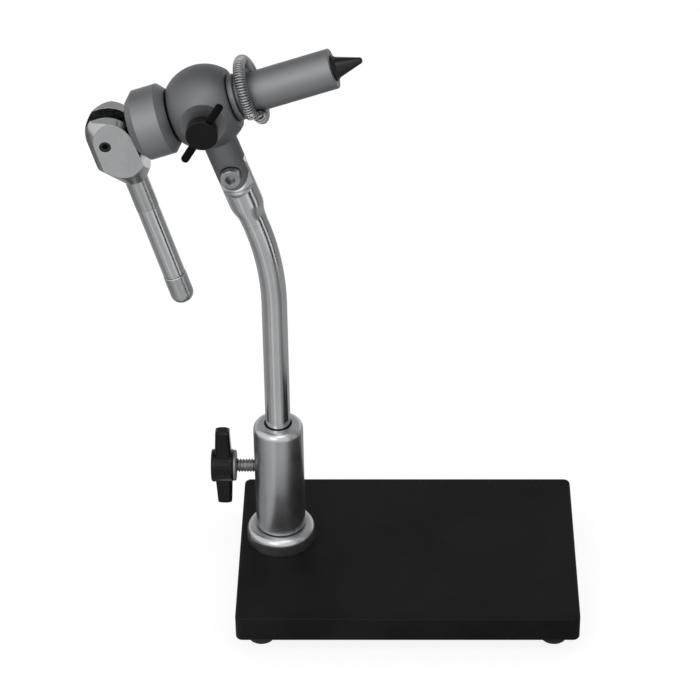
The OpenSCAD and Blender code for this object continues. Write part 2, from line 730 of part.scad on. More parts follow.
leg_r = barrel_bore_d / 2 - jaw_leg_gap;
cone_out_r = mouth_r - jaw_seat_gap;
shoulder_z = 0.6;
nose_step = 1.1;
leg_heel = 1;
leg_waist = 1.6;
shoulder_r = cone_out_r + shoulder_z * tan(mouth_angle) / 2;
nose_z = shoulder_z + nose_step;
nose_l = jaw_reach - nose_z - tip_r;
nose_r = tip_r + nose_l * tan(nose_angle);
cone_l = (cone_out_r - leg_r) / tan(mouth_angle);
jaw_outline = [
    [0, -jaw_leg_l], [leg_r, -jaw_leg_l], [leg_r, -jaw_leg_l + leg_heel], [flexure_r_share * leg_r, -jaw_leg_l + leg_waist],
    [flexure_r_share * leg_r, -jaw_leg_l + flexure_l], [leg_r, -jaw_leg_l + flexure_l + leg_heel],
    [leg_r, -cone_l], [cone_out_r, 0], [shoulder_r, shoulder_z / 2], [shoulder_r, shoulder_z],
    [nose_r, nose_z], [tip_r, jaw_reach - tip_r], [0, jaw_reach - tip_r]];
module jaw_round() translate([0, 0, barrel_front]) {
    rotate_extrude() polygon(jaw_outline);
    translate([0, 0, jaw_reach - tip_r]) intersection() {
        sphere(r = tip_r);
        translate([-tip_r, -tip_r, -fit_gap]) cube([2 * tip_r, 2 * tip_r, tip_r + over]);
    }
}
// One half of the jaws: a bare slit at the grip, a wider one along the springy legs
module jaw(side) color(black_oxide) at_head() difference() {
    jaw_round();
    translate([-barrel_r, side > 0 ? -barrel_d + jaw_slit / 2 : -jaw_slit / 2, barrel_front - jaw_leg_l - over])
        cube([barrel_d, barrel_d, jaw_leg_l + jaw_reach + 2 * over]);
    translate([-barrel_r, -leg_slit / 2, barrel_front - jaw_leg_l - over])
        cube([barrel_d, leg_slit, jaw_leg_l + jaw_reach + over - grip_l]);
}
module near_jaw() jaw(-1);
module far_jaw() jaw(1);

// Cam head and lever

// Outline of the cam round the pin: its distance to the drum falls steadily as the lever opens
cam_rate = cam_stroke / (lever_sweep * PI / 180);
cam_steps = 18;
cam_lift = function (a) cam_shut - cam_stroke * a / lever_sweep;
cam_back = cam_head_d + lever_offset;
cam_outline = concat(
    [for (i = [0 : cam_steps]) let (a = lever_sweep * i / cam_steps)
        [-(cam_lift(a) * sin(a) - cam_rate * cos(a)), cam_lift(a) * cos(a) + cam_rate * sin(a)]],
    [[-(cam_shut - cam_stroke), -cam_back], [lever_l, -cam_back], [lever_l, cam_shut]]);
cone_l_head = (cam_head_r - sleeve_r) / tan(cone_angle);
module cam_head_round() at_lever() {
    translate([0, 0, -dome_up]) {
        intersection() {
            sphere(r = cam_head_r);
            translate([-cam_head_d, -cam_head_d, -cam_head_d]) cube([2 * cam_head_d, 2 * cam_head_d, cam_head_d]);
        }
        cylinder(r = cam_head_r, h = barrel_part_l + dome_up);
    }
    translate([0, 0, barrel_part_l]) cylinder(r1 = cam_head_r, r2 = sleeve_r, h = cone_l_head);
    rod(sleeve_r, barrel_part_l, sleeve_l);
}
module cam_head() color(bright_steel) difference() {
    intersection() {
        cam_head_round();
        at_pin() translate([0, cam_head_w / 2, 0]) rotate([90, 0, 0]) linear_extrude(cam_head_w) polygon(cam_outline);
    }
    at_pin() {
        // Slot, open to the top and the front, with a round end at the back
        rotate([0, -90, 0]) translate([0, 0, -cam_slot_floor]) linear_extrude(cam_head_d) {
            translate([cam_slot_w / 2 - cam_slot_back, 0]) circle(d = cam_slot_w);
            translate([cam_slot_w / 2 - cam_slot_back, -cam_slot_w / 2]) square([cam_head_d, cam_slot_w]);
        }
        translate([0, cam_head_w / 2 - pin_blind, 0]) rotate([90, 0, 0]) cylinder(r = pin_r + fit_gap, h = cam_head_w);
    }
    at_lever() rod(lever_stub_r + fit_gap, sleeve_l - lever_stub_l - fit_gap, sleeve_l + over);
}
module cam_pin() color(black_oxide) at_pin() translate([0, -cam_head_w / 2 + pin_recess, 0]) rotate([-90, 0, 0]) difference() {
    cylinder(r = pin_r, h = cam_head_w - pin_recess - pin_blind - fit_gap);
    mirror([0, 0, 1]) hex_socket(pin_r, 0, pin_r);
}
module lever_rod() color(polished_steel) at_lever() difference() {
    union() {
        rod(lever_stub_r, sleeve_l - lever_stub_l, sleeve_l);
        translate([0, 0, sleeve_l]) turned(lever_r, lever_l - tip_l - sleeve_l, groove / 2, groove);
    }
    rod(tip_stub_r + fit_gap, lever_l - tip_l - tip_stub_l - fit_gap, lever_l);
}
module lever_tip() color(polished_steel) at_lever() {
    translate([0, 0, lever_l - tip_l]) turned(tip_d / 2, tip_l, groove, tip_round_share * tip_d);
    rod(tip_stub_r, lever_l - tip_l - tip_stub_l, lever_l - tip_l + groove);
}

base_plate();
rubber_feet();
foot_screws();
post_flange();
post();
post_bolt();
clamp_pad();
clamp_stud();
clamp_bushing();
clamp_knob();
stem_liner();
stem_rod();
stem_fork();
tilt_screw();
head_body();
rear_bush();
front_bush();
lock_pad();
lock_stud();
lock_hub();
lock_bar();
barrel();
front_collar();
retaining_ring();
material_spring();
cam_washer();
adjusting_drum();
drawbar();
collet_hub();
return_spring();
near_jaw();
far_jaw();
cam_head();
cam_pin();
lever_rod();
lever_tip();
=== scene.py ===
"""Dresses the fly tying vise: finishes, screw threads, spring wire, floor, light and camera."""
import json
import logging
import math
from dataclasses import dataclass
from enum import Enum
from typing import ClassVar

import bmesh
import bpy
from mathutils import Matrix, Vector


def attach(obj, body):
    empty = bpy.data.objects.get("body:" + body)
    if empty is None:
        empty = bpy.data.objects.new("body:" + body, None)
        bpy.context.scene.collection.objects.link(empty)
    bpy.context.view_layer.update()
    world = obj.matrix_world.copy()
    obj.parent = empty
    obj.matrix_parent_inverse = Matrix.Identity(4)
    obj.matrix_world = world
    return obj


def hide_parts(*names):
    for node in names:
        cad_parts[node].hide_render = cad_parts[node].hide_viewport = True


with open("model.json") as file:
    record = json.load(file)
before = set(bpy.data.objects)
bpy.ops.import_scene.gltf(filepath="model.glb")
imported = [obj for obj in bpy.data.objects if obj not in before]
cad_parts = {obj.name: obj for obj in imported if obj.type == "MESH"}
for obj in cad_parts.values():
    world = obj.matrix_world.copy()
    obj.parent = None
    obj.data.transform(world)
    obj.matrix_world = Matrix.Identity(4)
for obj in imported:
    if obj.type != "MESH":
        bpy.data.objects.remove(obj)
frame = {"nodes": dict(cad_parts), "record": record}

LOG = logging.getLogger("vise")
MM = 0.001
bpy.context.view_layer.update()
JOINTS = {joint["name"]: joint for joint in frame["record"]["behaviour"]["joints"]}
# Colour of the painted shade that darkens corners, sockets and gaps between parts.
SHADE_COLOUR = "#0c0c0c"
# Height of a cloth on the floor, and how near two vertices are joined.
CLOTH_LIFT = 0.001
WELD_MM = 0.0005
Colour = tuple[float, float, float, float]
Faces = list[tuple[int, ...]]


def linear(hex_colour: str) -> Colour:
    """Turns an sRGB hex colour into the linear colour that shaders take.

    Args:
        hex_colour: Six hex digits after a hash.

    Returns:
        Linear red, green, blue and an alpha of 1.
    """
    def channel(value: float) -> float:
        """Turns one sRGB channel to linear."""
        return value / 12.92 if value <= 0.04045 else ((value + 0.055) / 1.055) ** 2.4

    digits = hex_colour.lstrip("#")
    red, green, blue = (channel(int(digits[i:i + 2], 16) / 255) for i in (0, 2, 4))
    return (red, green, blue, 1.0)


class Tree:
    """A material's or world's node tree, with one way to add a node."""

    def __init__(self, owner: bpy.types.ID) -> None:
        """Empties the owner's node tree.

        Args:
            owner: A material or a world.
        """
        owner.use_nodes = True
        self.nodes = owner.node_tree.nodes
        self.links = owner.node_tree.links
        self.nodes.clear()

    def add(self, kind: str, inputs: dict | None = None, **settings: object) -> bpy.types.Node:
        """Adds a node with its settings and its links.

        Args:
            kind: The node's type name.
            inputs: Socket name or number to a value, or to the output socket that feeds it.
            settings: Attributes of the node.

        Returns:
            The new node.
        """
        node = self.nodes.new(kind)
        for name, value in settings.items():
            setattr(node, name, value)
        for name, value in (inputs or {}).items():
            if isinstance(value, bpy.types.NodeSocket):
                self.links.new(value, node.inputs[name])
            else:
                node.inputs[name].default_value = value
        return node


class Grain(Enum):
    """The way in which a surface's fine marks run, as the stretch of their pattern on X, Y and Z."""

    EVEN = (1.0, 1.0, 1.0)
    ALONG_Z = (1.0, 1.0, 0.06)
    ROUND_Z = (0.1, 0.1, 1.0)


@dataclass(frozen=True)
class Finish:
    """A surface: what it is made of, how it was finished and how large its marks are.

    Attributes:
        name: Common name of the material and its finish.
        colour: Colour of the clean surface.
        worn: Colour where the surface is thinner, rubbed or handled.
        metallic: 1 for bare or anodised metal, 0 for plastic, rubber and coatings.
        roughness: Roughness of the clean surface.
        spread: How far the roughness wanders either way.
        grit_mm: Size of the fine marks.
        depth_mm: Height of the fine marks.
        patch_mm: Size of the cloudy patches of colour and roughness.
        grain: The way in which the marks run.
        gloss: Specular level of a plastic, rubber or coating.
        edge_mm: How wide its edges are broken and rubbed.
        shade_reach_mm: How far the painted shade reaches out of its corners, sockets and gaps.
    """

    name: str
    colour: str
    worn: str
    metallic: float
    roughness: float
    spread: float = 0.05
    grit_mm: float = 0.3
    depth_mm: float = 0.004
    patch_mm: float = 12.0
    grain: Grain = Grain.EVEN
    gloss: float = 0.5
    edge_mm: float = 0.25
    shade_reach_mm: float = 2.5
    # How far a rounded edge turns from its face, as a cosine, where rubbing starts and where it is full.
    rub_turn: ClassVar[tuple[float, float]] = (0.99, 0.85)
    rub_most: ClassVar[float] = 0.8
    # The stretch of each noise that becomes a pattern, and how much the fine marks may add to the patches.
    patch_range: ClassVar[tuple[float, float]] = (0.35, 0.7)
    mark_range: ClassVar[tuple[float, float]] = (0.3, 0.7)
    mark_most: ClassVar[float] = 0.35
    # How open a corner is where its painted shade is darkest and where it ends.
    shade_open: ClassVar[tuple[float, float]] = (0.15, 0.75)
    shade_most: ClassVar[float] = 0.85

    def patches(self, tree: Tree, place: bpy.types.NodeSocket, marks: bpy.types.Node) -> bpy.types.Node:
        """Adds the cloudy patches with the fine marks on them.

        Args:
            tree: The material's tree.
            place: Where on the piece the surface is.
            marks: The noise of the fine marks.

        Returns:
            A node whose output is 0 for a fresh surface and 1 for a handled one.
        """
        clouds = tree.add("ShaderNodeTexNoise", {"Vector": place, "Scale": 1 / (self.patch_mm * MM),
                                                 "Detail": 4.0, "Roughness": 0.55})
        tone = tree.add("ShaderNodeMapRange", {"Value": clouds.outputs["Fac"], "From Min": self.patch_range[0],
                                               "From Max": self.patch_range[1]})
        fine = tree.add("ShaderNodeMapRange", {"Value": marks.outputs["Fac"], "From Min": self.mark_range[0],
                                               "From Max": self.mark_range[1], "To Min": 0.0,
                                               "To Max": self.mark_most})
        return tree.add("ShaderNodeMath", {0: tone.outputs[0], 1: fine.outputs[0]}, operation="ADD", use_clamp=True)

    def rub(self, tree: Tree, soft: bpy.types.Node) -> bpy.types.Node:
        """Adds the rubbing along the piece's edges.

        Args:
            tree: The material's tree.
            soft: The node that gives the normal with edges rounded.

        Returns:
            A node whose output is 0 on a flat and rub_most on an edge.
        """
        hard = tree.add("ShaderNodeNewGeometry")
        bend = tree.add("ShaderNodeVectorMath", {0: soft.outputs[0], 1: hard.outputs["Normal"]},
                        operation="DOT_PRODUCT")
        return tree.add("ShaderNodeMapRange", {"Value": bend.outputs["Value"], "From Min": self.rub_turn[0],
                                               "From Max": self.rub_turn[1], "To Min": 0.0, "To Max": self.rub_most})

    def painted_shade(self, tree: Tree) -> bpy.types.Node:
        """Adds painted shade in corners, sockets and gaps between parts, as a node that is 0 in the open and at its
        most in a corner.
        """
        corner = tree.add("ShaderNodeAmbientOcclusion", {"Distance": self.shade_reach_mm * MM}, samples=6)
        return tree.add("ShaderNodeMapRange", {"Value": corner.outputs["AO"], "From Min": self.shade_open[0],
                                               "From Max": self.shade_open[1], "To Min": self.shade_most,
                                               "To Max": 0.0})

    def material(self) -> bpy.types.Material:
        """Builds the finish's material, or returns it if it was built before.

        Returns:
            The procedural material.
        """
        known = bpy.data.materials.get(self.name)
        if known:
            return known
        material = bpy.data.materials.new(self.name)
        tree = Tree(material)
        place = tree.add("ShaderNodeTexCoord").outputs["Object"]
        stretch = tree.add("ShaderNodeMapping", {"Vector": place, "Scale": self.grain.value})
        marks = tree.add("ShaderNodeTexNoise", {"Vector": stretch.outputs[0], "Scale": 1 / (self.grit_mm * MM),
                                                "Detail": 2.0, "Roughness": 0.6})
        soft = tree.add("ShaderNodeBevel", {"Radius": self.edge_mm * MM}, samples=4)
        patches = self.patches(tree, place, marks)
        wear = tree.add("ShaderNodeMath", {0: patches.outputs[0], 1: self.rub(tree, soft).outputs[0]},
                        operation="ADD", use_clamp=True)
        clean = tree.add("ShaderNodeMix", {"Factor": wear.outputs[0], "A": linear(self.colour),
                                           "B": linear(self.worn)}, data_type="RGBA")
        # Painted shade: ambient occlusion darkens the colour in corners, sockets and gaps between parts.
        colour = tree.add("ShaderNodeMix", {"Factor": self.painted_shade(tree).outputs[0], "A": clean.outputs["Result"],
                                            "B": linear(SHADE_COLOUR)}, data_type="RGBA")
        rough = tree.add("ShaderNodeMapRange", {"Value": patches.outputs[0], "To Min": self.roughness - self.spread,
                                                "To Max": self.roughness + self.spread})
        bump = tree.add("ShaderNodeBump", {"Height": marks.outputs["Fac"], "Strength": 1.0,
                                           "Distance": self.depth_mm * MM, "Normal": soft.outputs[0]})
        shader = tree.add("ShaderNodeBsdfPrincipled", {
            "Base Color": colour.outputs["Result"], "Metallic": self.metallic, "Roughness": rough.outputs[0],
            "Normal": bump.outputs[0], "Specular IOR Level": self.gloss})
        tree.add("ShaderNodeOutputMaterial", {"Surface": shader.outputs[0]})
        return material


# Steel plate under a baked polyester powder: near black, with the soft sheen of its orange peel, 0.9 mm across.
POWDER_COAT = Finish(
    "black_powder_coat", "#0b0b0c", "#161617", metallic=0.0, roughness=0.5, spread=0.05,
    grit_mm=0.9, depth_mm=0.02, patch_mm=30.0, gloss=0.1)
# Moulded feet: dull, and slightly grey where they rub on the table.
RUBBER = Finish(
    "moulded_rubber", "#161617", "#242424", metallic=0.0, roughness=0.8, spread=0.06,
    grit_mm=0.5, depth_mm=0.02, patch_mm=6.0)
# Stainless bar, turned and buffed: clear reflections, softened by lengthwise polishing lines.
# The lines are about 0.02 mm wide, and drawn at 0.4 mm so that they show.
POLISHED_STEEL = Finish(
    "polished_stainless", "#c3c4c6", "#cbcccd", metallic=1.0, roughness=0.18, spread=0.03,
    grit_mm=0.4, depth_mm=0.0006, patch_mm=14.0, grain=Grain.ALONG_Z)
# Stainless washer: its turning marks run round it and pull its highlights wide. They are 0.1 mm, drawn at 0.3 mm.
TURNED_STEEL = Finish(
    "turned_stainless", "#bebfc1", "#c6c7c9", metallic=1.0, roughness=0.26, spread=0.04,
    grit_mm=0.3, depth_mm=0.0015, patch_mm=9.0, grain=Grain.ROUND_Z)
# Post and flange, left with a satin turning, so they show no hard reflection. Marks of 0.08 mm, drawn at 0.35 mm.
SATIN_TURNED = Finish(
    "satin_turned_stainless", "#bcbdbf", "#c4c5c7", metallic=1.0, roughness=0.31, spread=0.04,
    grit_mm=0.35, depth_mm=0.0015, patch_mm=9.0, grain=Grain.ROUND_Z)
# Zinc-plated screws: bright, with a slight cloudiness. The plate's crystals are drawn about ten times too coarse.
PLATED_STEEL = Finish(
    "zinc_plated_steel", "#b0b1b3", "#98999b", metallic=1.0, roughness=0.3, spread=0.06,
    grit_mm=0.35, depth_mm=0.002, patch_mm=3.0)
# Cam head and lever tip, vapour blasted: pale and even, without a mirror. Pits of 0.03 mm, drawn at 0.25 mm.
SATIN_STEEL = Finish(
    "satin_stainless", "#b4b5b6", "#bdbebf", metallic=1.0, roughness=0.27, spread=0.04,
    grit_mm=0.25, depth_mm=0.004, patch_mm=8.0)
# Bead-blasted and anodised: a frosted grey with wide, soft highlights. Pits of 0.08 mm, drawn at 0.28 mm.
# Its painted shade reaches 6 mm out of corners and gaps, further than the other finishes'.
ANODISED = Finish(
    "blasted_anodised_aluminium", "#87888a", "#8f9092", metallic=1.0, roughness=0.56, spread=0.04,
    grit_mm=0.28, depth_mm=0.006, patch_mm=16.0, shade_reach_mm=6.0)
# The ball comes from another batch of anodising, a shade darker.
BALL_ANODISED = Finish(
    "dark_blasted_anodised_aluminium", "#747577", "#7c7d7f", metallic=1.0, roughness=0.56, spread=0.04,
    grit_mm=0.28, depth_mm=0.006, patch_mm=16.0)
# Hardened tool steel, blackened in hot salts and oiled: deep black with a dull edge. The oxide is a skin that
# hides the metal, so it is no mirror. Its grain is drawn at 0.35 mm so that it shows.
BLACK_OXIDE = Finish(
    "black_oxide_steel", "#0e0e0e", "#181818", metallic=0.0, roughness=0.42, spread=0.07,
    grit_mm=0.35, depth_mm=0.003, patch_mm=4.0, gloss=0.35)
# Drawbar: phosphated steel, soaked in oil, which is dark. Its colour is pushed to near black as painted shade, so that
# the cam head's slot looks deep.
PHOSPHATED = Finish(
    "phosphated_steel", "#060607", "#0c0c0d", metallic=0.0, roughness=0.6, spread=0.05,
    grit_mm=0.3, depth_mm=0.004, patch_mm=3.0, gloss=0.08)
# Jaws of tool steel, ground before they were blackened, so their flats hold a soft grey sheen.
JAW_STEEL = Finish(
    "ground_black_oxide_steel", "#0c0c0c", "#161616", metallic=0.0, roughness=0.34, spread=0.06,
    grit_mm=0.3, depth_mm=0.003, patch_mm=3.0, gloss=0.32)
# Injection-moulded knobs: black with the gloss of a polished mould, over flow waves of 1.2 mm.
BLACK_KNOB = Finish(
    "moulded_black_plastic", "#050506", "#0a0a0b", metallic=0.0, roughness=0.17, spread=0.04,
    grit_mm=1.2, depth_mm=0.003, patch_mm=7.0, gloss=0.22)
# Rod of the lock's handle, painted: blacker than its hub, with hardly a reflection.
BLACK_ROD = Finish(
    "painted_black_rod", "#040405", "#09090a", metallic=0.0, roughness=0.4, spread=0.05,
    grit_mm=0.6, depth_mm=0.003, patch_mm=4.0, gloss=0.07)
# Turned acetal liner and bushes: matt black.
ACETAL = Finish(
    "turned_acetal", "#0d0d0e", "#151516", metallic=0.0, roughness=0.5, spread=0.05,
    grit_mm=0.4, depth_mm=0.004, patch_mm=5.0)
# Nylon pads: milky white.
NYLON = Finish(
    "natural_nylon", "#d9d7cf", "#cbc8bd", metallic=0.0, roughness=0.5, spread=0.05,
    grit_mm=0.5, depth_mm=0.004, patch_mm=4.0)
# Hard-drawn wire with a nickel plate: a bright line along every coil, with a dark gap to the next, partly painted
# shade that reaches 0.3 mm between the coils.
SPRING_WIRE = Finish(
    "nickel_plated_wire", "#9c9d9e", "#adaeaf", metallic=1.0, roughness=0.3, spread=0.05,
    grit_mm=0.2, depth_mm=0.002, patch_mm=3.0, edge_mm=0.05, shade_reach_mm=0.3)


@dataclass(frozen=True)
class Axes:
    """A local frame: an origin in metres and three unit directions."""

    origin: Vector
    x: Vector
    y: Vector
    z: Vector

    def point(self, x: float, y: float, z: float) -> Vector:
        """Gives the place of a local point in millimetres, in metres."""
        return self.origin + (self.x * x + self.y * y + self.z * z) * MM


def head_axes() -> Axes:
    """Works out the head's frame: Z along the barrel to the jaws and X down the neck."""
    along = Vector(JOINTS["barrel_spin"]["axis"]).normalized()
    down = Vector(JOINTS["near_jaw_open"]["axis"]).normalized()
    return Axes(Vector(JOINTS["barrel_spin"]["pos_m"]), down, along.cross(down), along)


def clamp_axes() -> Axes:
    """Works out the clamp screw's frame: Z out of the post and X up."""
    joint = JOINTS["clamp_turn"]
    post = Vector(JOINTS["stem_swivel"]["pos_m"])
    out = Vector(joint["axis"]).normalized()
    centre = Vector((post.x, joint["pos_m"][1], joint["pos_m"][2]))
    up = Vector((0.0, 0.0, 1.0))
    return Axes(centre, up, out.cross(up), out)


def lock_axes() -> Axes:
    """Works out the lock screw's frame: Z out of the ball towards the tyer and X up."""
    out = Vector(JOINTS["lock_turn"]["axis"]).normalized()
    up = Vector((0.0, 0.0, 1.0))
    return Axes(Vector(JOINTS["barrel_spin"]["pos_m"]), up, out.cross(up), out)


def piece_of(name: str, points: list[Vector], faces: Faces, finish: Finish) -> bpy.types.Object:
    """Makes a smooth-shaded mesh piece in the scene.

    Args:
        name: Name of the piece.
        points: Vertices in metres.
        faces: Vertex numbers of each face.
        finish: Its surface.

    Returns:
        The new object.
    """
    mesh = bpy.data.meshes.new(name)
    mesh.from_pydata([tuple(point) for point in points], [], faces)
    shape = bmesh.new()
    shape.from_mesh(mesh)
    bmesh.ops.remove_doubles(shape, verts=shape.verts, dist=WELD_MM * MM)
    bmesh.ops.recalc_face_normals(shape, faces=shape.faces)
    shape.to_mesh(mesh)
    shape.free()
    for polygon in mesh.polygons:
        polygon.use_smooth = True
    mesh.materials.append(finish.material())
    piece = bpy.data.objects.new(name, mesh)
    bpy.context.scene.collection.objects.link(piece)
    return piece


def wire(centres: list[Vector], radius: float, sides: int) -> tuple[list[Vector], Faces]:
    """Sweeps a round wire along points.

    Args:
        centres: The wire's middle line, in metres.
        radius: Its radius in metres.
        sides: Sides of its section.

    Returns:
        Points and faces of a closed tube.
    """
    count = len(centres)
    points: list[Vector] = []
    side = Vector((1.0, 0.0, 0.0))
    for i, centre in enumerate(centres):
        along = (centres[min(i + 1, count - 1)] - centres[max(i - 1, 0)]).normalized()
        side = (side - along * side.dot(along)).normalized()
        other = along.cross(side)
        for k in range(sides):
            turn = math.tau * k / sides
            points.append(centre + (side * math.cos(turn) + other * math.sin(turn)) * radius)
    faces: Faces = []
    for i in range(count - 1):
        for k in range(sides):
            a, b = i * sides + k, i * sides + (k + 1) % sides
            faces.append((a, b, b + sides, a + sides))
    faces.append(tuple(range(sides)))
    faces.append(tuple(range((count - 1) * sides, count * sides)))
    return points, faces


@dataclass
class SubAssembly:
    """A group of the vise's pieces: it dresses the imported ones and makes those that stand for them."""

    finishes: ClassVar[dict[str, Finish]] = {}

    def dress(self) -> None:
        """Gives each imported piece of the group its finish."""
        for name, finish in self.finishes.items():
            materials = frame["nodes"][name].data.materials
            materials.clear()
            materials.append(finish.material())
            LOG.info("%s in %s", name, finish.name)

    def mesh(self) -> None:
        """Makes the group's own pieces, where it has any."""

    def build(self) -> None:
        """Dresses the group, then makes its own pieces."""
        self.dress()
        self.mesh()


@dataclass
class Base(SubAssembly):
    """The pedestal plate on its four feet."""

    finishes: ClassVar[dict[str, Finish]] = {
        "base_plate": POWDER_COAT, "rubber_feet": RUBBER, "foot_screws": PLATED_STEEL}


@dataclass
class Post(SubAssembly):
    """The post, its flange and the bolt that holds it down."""

    finishes: ClassVar[dict[str, Finish]] = {
        "post_flange": SATIN_TURNED, "post": SATIN_TURNED, "post_bolt": PLATED_STEEL, "stem_liner": ACETAL}


@dataclass
class Thread:
    """A screw thread on a stud, with sizes in millimetres.

    Attributes:
        major_d: Diameter over the crests.
        pitch: Distance from crest to crest.
        start: Where the thread starts, along the stud's own axis.
        end: Where it ends.
        chamfer: Length of the chamfer at each end.
        depth_share: Depth of the thread, as a share of the pitch.
        root_share: How soon a flank reaches the root, which leaves the root flat.
        sides: Points round one turn.
        rows: Points along one pitch.
    """

    major_d: float
    pitch: float
    start: float
    end: float
    chamfer: float = 0.6
    depth_share: float = 0.54
    root_share: float = 1.25
    sides: int = 48
    rows: int = 10

    def radius(self, along: float, turn: float) -> float:
        """Gives the thread's radius at a point.

        Args:
            along: Distance along the stud.
            turn: Radians round it.

        Returns:
            Distance from the stud's axis.
        """
        depth = self.depth_share * self.pitch
        phase = (along / self.pitch - turn / math.tau) % 1.0
        flank = min(abs(2 * phase - 1) * self.root_share, 1.0)
        tip = max(0.0, self.chamfer - min(along - self.start, self.end - along))
        return min(self.major_d / 2 - depth * flank, self.major_d / 2 - tip)

    def build(self, name: str, axes: Axes, finish: Finish) -> bpy.types.Object:
        """Cuts the thread as a closed mesh.

        Args:
            name: Name of the piece.
            axes: The stud's frame.
            finish: Its surface.

        Returns:
            The threaded piece.
        """
        count = round((self.end - self.start) / self.pitch * self.rows)
        points: list[Vector] = []
        for i in range(count + 1):
            along = self.start + (self.end - self.start) * i / count
            for k in range(self.sides):
                turn = math.tau * k / self.sides
                radius = self.radius(along, turn)
                points.append(axes.point(radius * math.cos(turn), radius * math.sin(turn), along))
        faces = [(i * self.sides + k, i * self.sides + (k + 1) % self.sides,
                  (i + 1) * self.sides + (k + 1) % self.sides, (i + 1) * self.sides + k)
                 for i in range(count) for k in range(self.sides)]
        faces.append(tuple(range(self.sides)))
        faces.append(tuple(range(count * self.sides, (count + 1) * self.sides)))
        LOG.info("%s with %.1f turns of thread", name, (self.end - self.start) / self.pitch)
        return piece_of(name, points, faces, finish)


@dataclass
class PostClamp(SubAssembly):
    """The winged screw that clamps the stem in the post, with sizes in millimetres.

    Attributes:
        stud_d: Diameter over the thread's crests.
        stud_pitch: Pitch of the thread, twenty to the inch.
        stud_from: Inner end of the stud, from the post's axis.
        stud_to: Its outer end, inside the knob.
    """

    stud_d: float = 6.3
    stud_pitch: float = 1.27
    stud_from: float = 8.54
    stud_to: float = 27.4
    finishes: ClassVar[dict[str, Finish]] = {
        "clamp_pad": NYLON, "clamp_stud": PLATED_STEEL, "clamp_bushing": ANODISED, "clamp_knob": BLACK_KNOB}

    def mesh(self) -> None:
        """Cuts the stud's thread."""
        thread = Thread(self.stud_d, self.stud_pitch, self.stud_from, self.stud_to)
        piece = thread.build("clamp_thread", clamp_axes(), PLATED_STEEL)
        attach(piece, "clamp_screw")
        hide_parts("clamp_stud")


@dataclass
class Stem(SubAssembly):
    """The bent stem, its fork and the screw of the tilt joint."""

    finishes: ClassVar[dict[str, Finish]] = {
        "stem_rod": POLISHED_STEEL, "stem_fork": POLISHED_STEEL, "tilt_screw": PLATED_STEEL}


@dataclass
class Head(SubAssembly):
    """The ball with its neck, and the bushes that the barrel turns in."""

    finishes: ClassVar[dict[str, Finish]] = {
        "head_body": BALL_ANODISED, "rear_bush": ACETAL, "front_bush": ACETAL}


@dataclass
class LockScrew(SubAssembly):
    """The cross-bar screw that stops the barrel's turning, with sizes in millimetres.

    Attributes:
        stud_d: Diameter over the thread's crests.
        stud_pitch: Pitch of the thread.
        stud_from: Inner end of the stud, from the barrel's axis.
        stud_to: Its outer end, under the cross bar.
    """

    stud_d: float = 4.76
    stud_pitch: float = 0.8
    stud_from: float = 11.17
    stud_to: float = 20.0
    finishes: ClassVar[dict[str, Finish]] = {
        "lock_pad": NYLON, "lock_stud": BLACK_OXIDE, "lock_hub": BLACK_KNOB, "lock_bar": BLACK_ROD}

    def mesh(self) -> None:
        """Cuts the stud's thread."""
        thread = Thread(self.stud_d, self.stud_pitch, self.stud_from, self.stud_to)
        piece = thread.build("lock_thread", lock_axes(), BLACK_OXIDE)
        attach(piece, "lock_screw")
        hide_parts("lock_stud")


